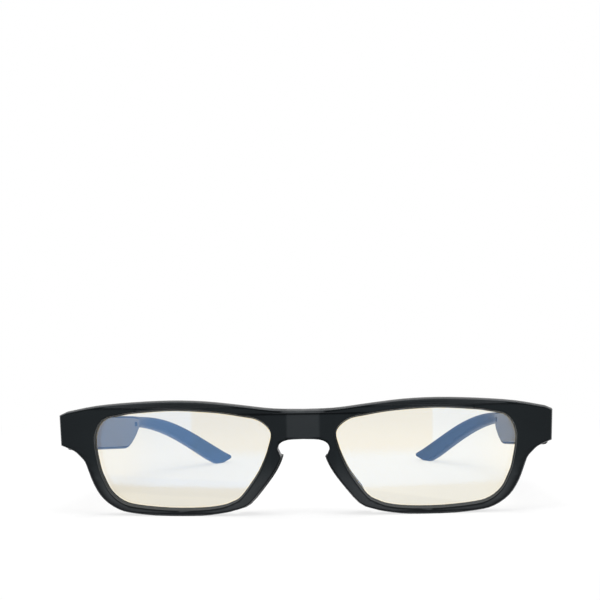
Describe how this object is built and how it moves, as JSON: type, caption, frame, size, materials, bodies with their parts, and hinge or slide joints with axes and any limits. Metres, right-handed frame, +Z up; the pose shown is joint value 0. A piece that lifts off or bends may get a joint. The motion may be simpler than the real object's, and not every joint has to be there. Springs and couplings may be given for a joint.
{
  "type": "full-rim glasses",
  "caption": "Full-rim rectangular glasses with pale cream blue-light lenses, a keyhole bridge and thick hollow side arms that fold inwards and end in slim bowed ear pieces.",
  "frame": {"origin": "middle of the bottom of the whole pair's box, on the surface it stands on, with the arms open", "axes": "+X across the face to the viewer's right as seen from the front, -Y the way the front faces, +Z up"},
  "size_m": [0.1452, 0.1246, 0.0336],
  "materials": {
    "black_gloss": "polished near-black moulded frame",
    "black_satin": "satin near-black moulded arms",
    "grey_satin": "satin grey inner cover",
    "lens_cream": "clear lens with a pale cream tint and a blue reflective coating",
    "steel_dark": "dark hinge steel",
    "steel_bright": "bright screw steel",
    "board_green": "circuit board laminate",
    "foil": "cell pouch foil",
    "mesh_black": "black woven outlet mesh"
  },
  "bodies": {
    "front": {"front_frame": "black_gloss", "lens_left": "lens_cream", "front_hinge_left": "steel_dark", "hinge_screw_left": "steel_bright", "lens_right": "lens_cream", "front_hinge_right": "steel_dark", "hinge_screw_right": "steel_bright"},
    "temple_left": {"temple_hinge_left": "steel_dark", "leaf_screw_front_left": "steel_bright", "leaf_screw_rear_left": "steel_bright", "temple_shell_left": "black_satin", "inner_cover_left": "grey_satin", "circuit_board_left": "board_green", "battery_left": "foil", "speaker_left": "steel_dark", "speaker_mesh_left": "mesh_black"},
    "temple_right": {"temple_hinge_right": "steel_dark", "leaf_screw_front_right": "steel_bright", "leaf_screw_rear_right": "steel_bright", "temple_shell_right": "black_satin", "inner_cover_right": "grey_satin", "circuit_board_right": "board_green", "battery_right": "foil", "speaker_right": "steel_dark", "speaker_mesh_right": "mesh_black"}
  },
  "joints": [
    {"name": "temple_right_fold", "type": "hinge", "parent": "front", "child": "temple_right", "pos_m": [0.0666, -0.04705, 0.0238], "axis": [0, 0, 1], "range_deg": [0, 74]},
    {"name": "temple_left_fold", "type": "hinge", "parent": "front", "child": "temple_left", "pos_m": [-0.0666, -0.04705, 0.0238], "axis": [0, 0, -1], "range_deg": [0, 64]}
  ]
}
